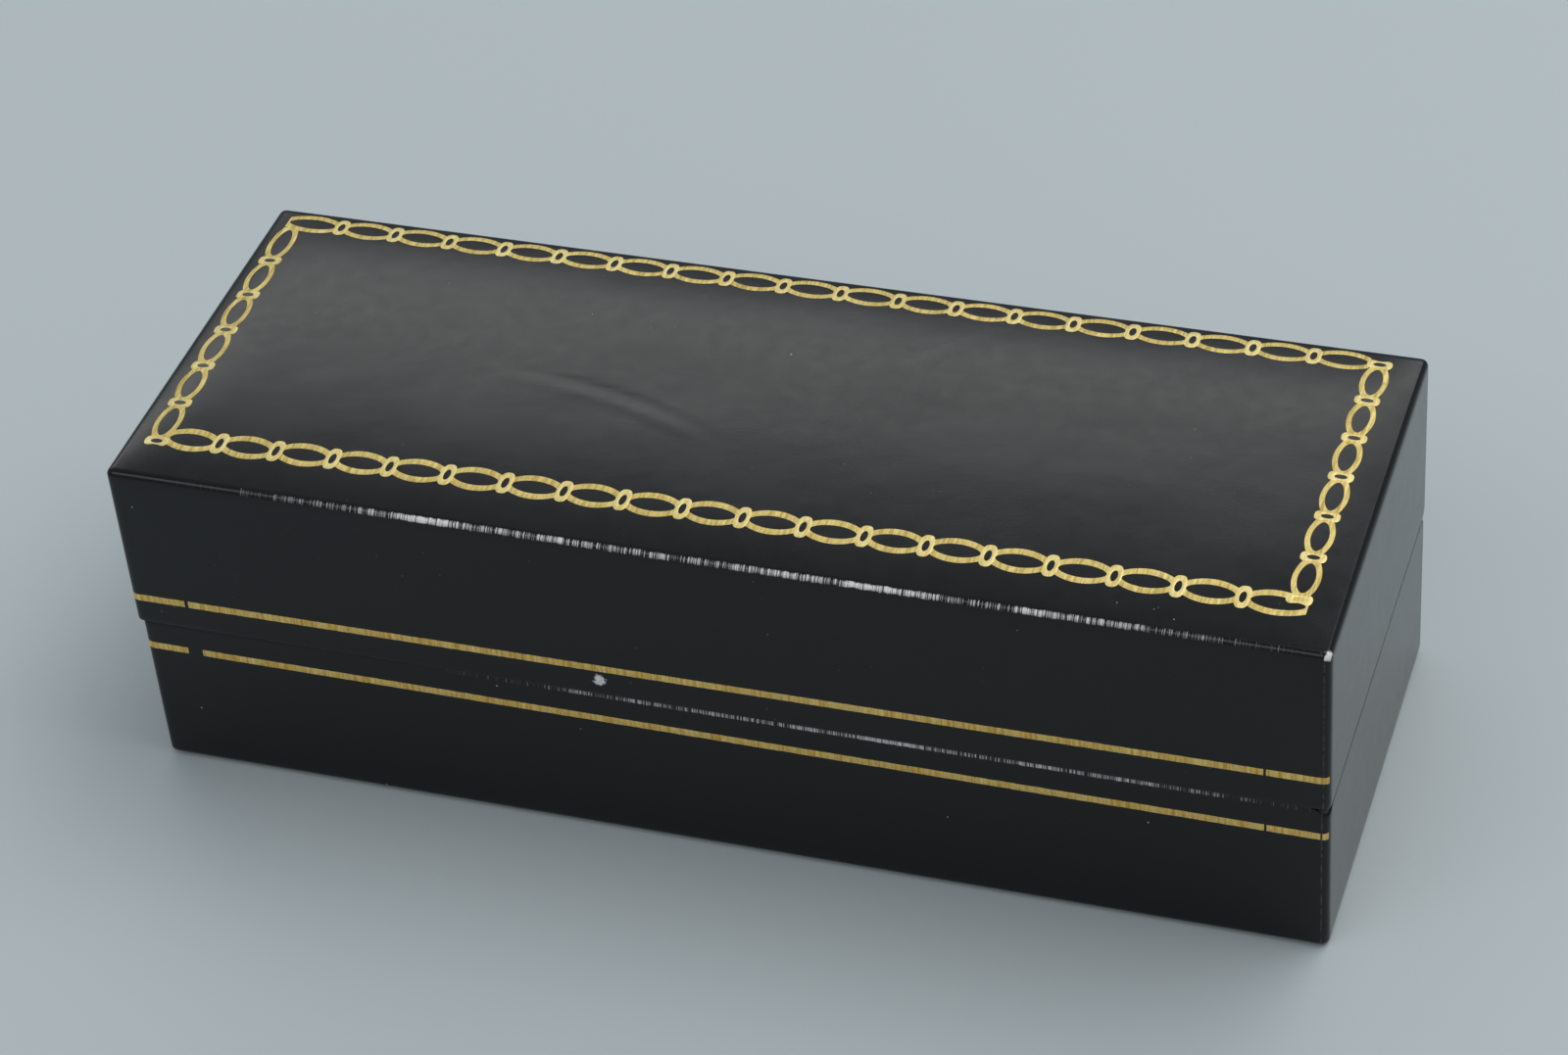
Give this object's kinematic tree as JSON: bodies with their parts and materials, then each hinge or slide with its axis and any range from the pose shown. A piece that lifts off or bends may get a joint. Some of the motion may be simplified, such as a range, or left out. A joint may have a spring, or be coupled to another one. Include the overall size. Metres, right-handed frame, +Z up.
{
  "type": "jewelry gift box",
  "caption": "Long hinged jewelry box in black leatherette with a padded lid, gold chain border, gold lines, velvet insert and satin lid pad.",
  "frame": {"origin": "middle of the underside of the closed box", "axes": "+X along the length to the right, +Y towards the hinged back, +Z up through the lid"},
  "size_m": [0.1524, 0.0564, 0.0476],
  "materials": {
    "black_leatherette": "satin leatherette paper",
    "gold_foil": "hot stamped foil",
    "black_styrene": "matte moulded",
    "black_flock": "flocked paper",
    "grey_card": "uncoated card",
    "white_foam": "open cell foam",
    "black_velvet": "short pile velvet",
    "black_elastic": "woven elastic",
    "black_ribbon": "satin ribbon",
    "cream_satin": "satin cloth",
    "nickel_steel": "nickel plated sheet",
    "spring_steel": "tempered strip"
  },
  "bodies": {
    "base": {"base_cover": "black_leatherette", "base_gold_line": "gold_foil", "base_lining_back": "black_velvet", "base_lining_front": "black_velvet", "base_lining_left": "black_velvet", "base_lining_right": "black_velvet", "base_shell": "black_styrene", "base_underside": "black_flock", "hinge_base_leaf_left": "nickel_steel", "hinge_base_leaf_right": "nickel_steel", "hinge_pins_left": "nickel_steel", "hinge_pins_right": "nickel_steel", "hinge_rivets_base": "nickel_steel", "hinge_spring_left": "spring_steel", "hinge_spring_right": "spring_steel", "insert_board": "grey_card", "insert_foam": "white_foam", "insert_ribbon_tab": "black_ribbon", "insert_strap_left": "black_elastic", "insert_strap_right": "black_elastic", "insert_velvet": "black_velvet"},
    "lid": {"hinge_lid_leaf_left": "nickel_steel", "hinge_lid_leaf_right": "nickel_steel", "hinge_rivets_lid": "nickel_steel", "lid_cover": "black_leatherette", "lid_foam": "white_foam", "lid_gold_border": "gold_foil", "lid_gold_line": "gold_foil", "lid_lining_back": "cream_satin", "lid_lining_front": "cream_satin", "lid_lining_left": "cream_satin", "lid_lining_right": "cream_satin", "lid_pad_board": "grey_card", "lid_pad_foam": "white_foam", "lid_pad_satin": "cream_satin", "lid_shell": "black_styrene"}
  },
  "joints": [
    {"name": "lid_hinge", "type": "hinge", "parent": "base", "child": "lid", "pos_m": [0, 0.0265, 0.0228], "axis": [-1, 0, 0], "range_deg": [0, 100], "deforming": ["hinge_spring_left", "hinge_spring_right"]}
  ]
}
